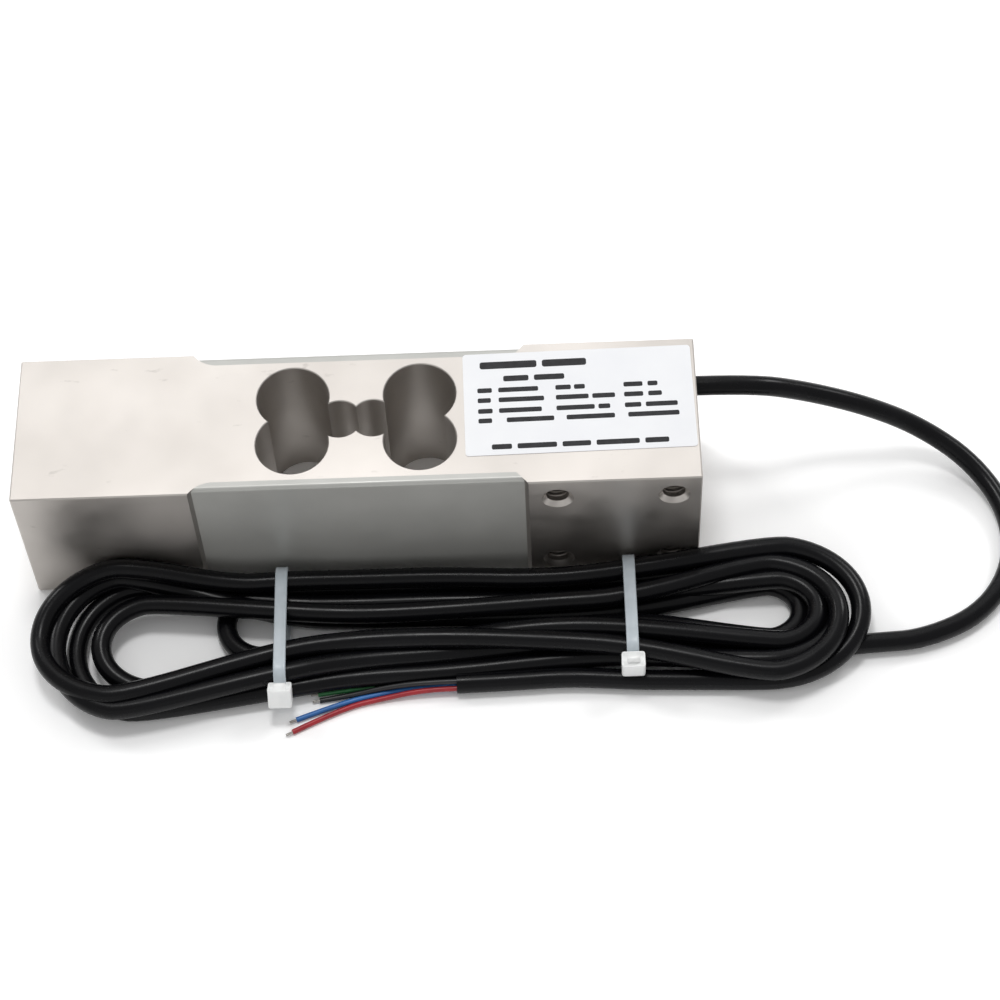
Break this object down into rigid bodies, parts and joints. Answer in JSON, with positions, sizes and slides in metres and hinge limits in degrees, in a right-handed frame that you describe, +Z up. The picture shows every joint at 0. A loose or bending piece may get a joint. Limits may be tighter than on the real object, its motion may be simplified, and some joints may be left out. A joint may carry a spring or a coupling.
{
  "type": "single point load cell",
  "caption": "Aluminium bar load cell with a dog-bone cut-out, potted gauge recesses, tapped holes in its loading faces and a black cable wound into a tied hank.",
  "frame": {"origin": "middle of the body's lower side, on the surface that the cell lies on", "axes": "+X along the body towards the end that the cable leaves, +Z up through the body's width to the labelled side, and -Y out of the loading face with the fixed end's tapped holes"},
  "size_m": [0.2232, 0.0775, 0.0381],
  "materials": {
    "aluminium_alloy": "satin, fine machining marks",
    "gauge_film": "amber polyimide film",
    "board_laminate": "green laminate",
    "wire_insulation": "thin insulation",
    "resistor_body": "matt",
    "potting": "satin grey silicone",
    "cable_jacket": "semi-gloss black",
    "seal": "matt",
    "label_film": "silvery white film",
    "tie_plastic": "natural nylon",
    "tinned_wire": "tinned strands",
    "lead_red_pvc": "smooth",
    "lead_blue_pvc": "smooth",
    "lead_green_pvc": "smooth",
    "lead_black_pvc": "smooth"
  },
  "bodies": {
    "root": {"spring_body": "aluminium_alloy", "strain_gauge_near_live": "gauge_film", "strain_gauge_near_fixed": "gauge_film", "strain_gauge_far_live": "gauge_film", "strain_gauge_far_fixed": "gauge_film", "terminal_board_near": "board_laminate", "terminal_board_far": "board_laminate", "gauge_wires_near": "wire_insulation", "gauge_wires_far": "wire_insulation", "balance_resistors": "resistor_body", "jumper_wires": "wire_insulation", "core_wires": "wire_insulation", "gauge_cover_near": "potting", "gauge_cover_far": "potting", "cable_stub": "cable_jacket", "cable_seal": "seal", "rating_label": "label_film", "cable_run": "cable_jacket", "cable_hank": "cable_jacket", "cable_tail": "cable_jacket", "cable_tie_left": "tie_plastic", "cable_tie_right": "tie_plastic", "lead_red": "lead_red_pvc", "bared_end_red": "tinned_wire", "lead_blue": "lead_blue_pvc", "bared_end_blue": "tinned_wire", "lead_green": "lead_green_pvc", "bared_end_green": "tinned_wire", "lead_black": "lead_black_pvc", "bared_end_black": "tinned_wire"}
  },
  "joints": []
}
